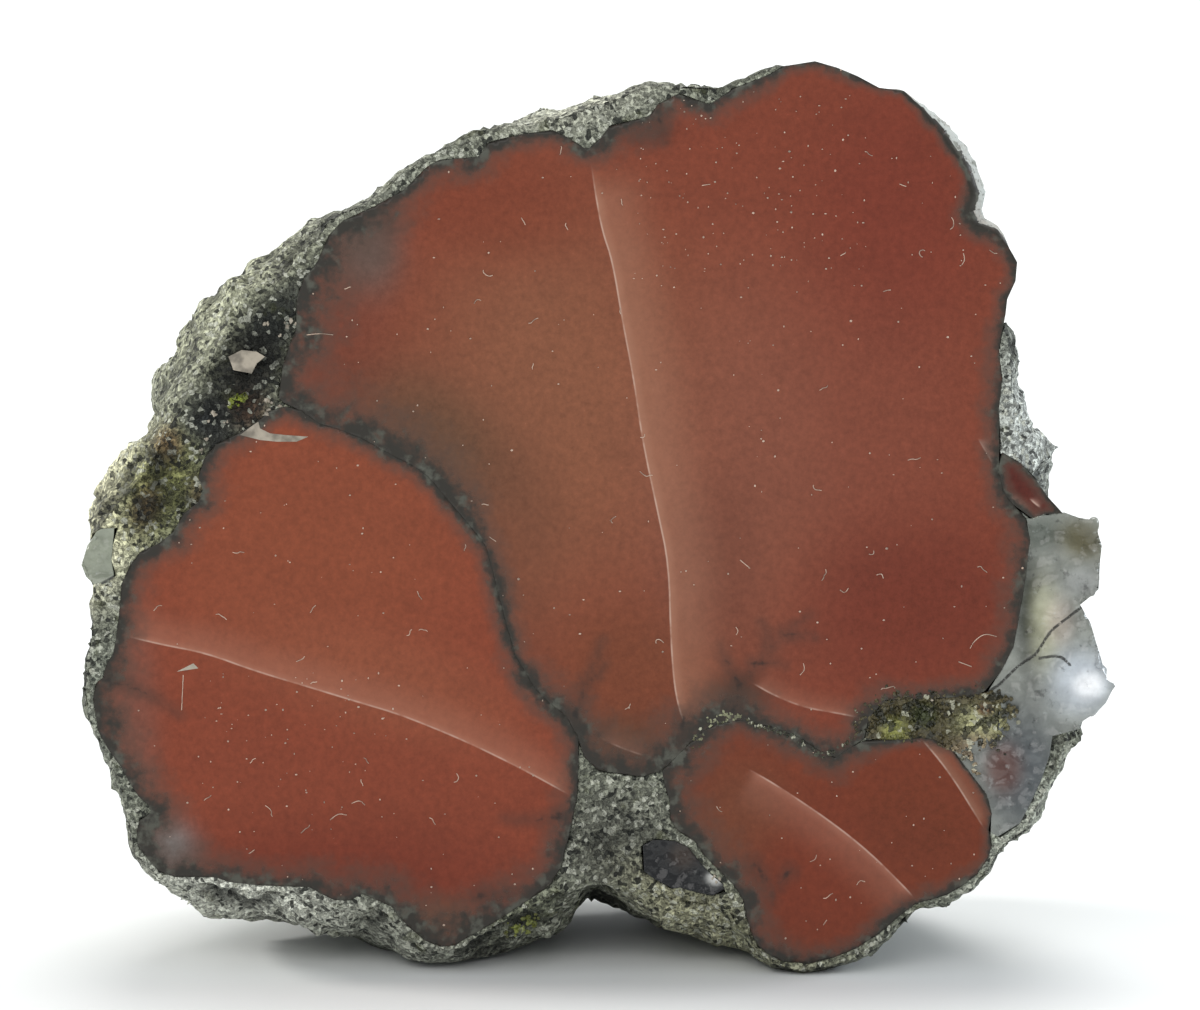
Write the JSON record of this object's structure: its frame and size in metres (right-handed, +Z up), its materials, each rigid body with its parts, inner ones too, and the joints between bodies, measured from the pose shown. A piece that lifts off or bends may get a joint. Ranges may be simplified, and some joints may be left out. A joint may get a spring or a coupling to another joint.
{
  "type": "polished datolite nodule specimen on matrix",
  "caption": "Half of a datolite nodule cluster in rough basalt matrix, sawn and polished on its front face, standing upright on its rough foot.",
  "frame": {"origin": "middle of the bounding box, on the surface that the stone stands on", "axes": "+Z up, +X across the polished face to the right as it is looked at, +Y away from the viewer, through the stone from the polished face to the rough back"},
  "size_m": [0.0622, 0.0327, 0.054],
  "materials": {
    "basalt": "rough, granular, natural rock",
    "datolite": "polished on the face, satin skin elsewhere",
    "epidote": "granular, polished on the face",
    "quartz": "glassy, polished on the face"
  },
  "bodies": {
    "root": {"matrix": "basalt", "datolite_upper": "datolite", "datolite_lower_left": "datolite", "datolite_lower_right": "datolite", "datolite_sliver": "datolite", "epidote_seam": "epidote", "quartz_right": "quartz", "quartz_left": "quartz", "quartz_pocket": "quartz"}
  },
  "joints": []
}
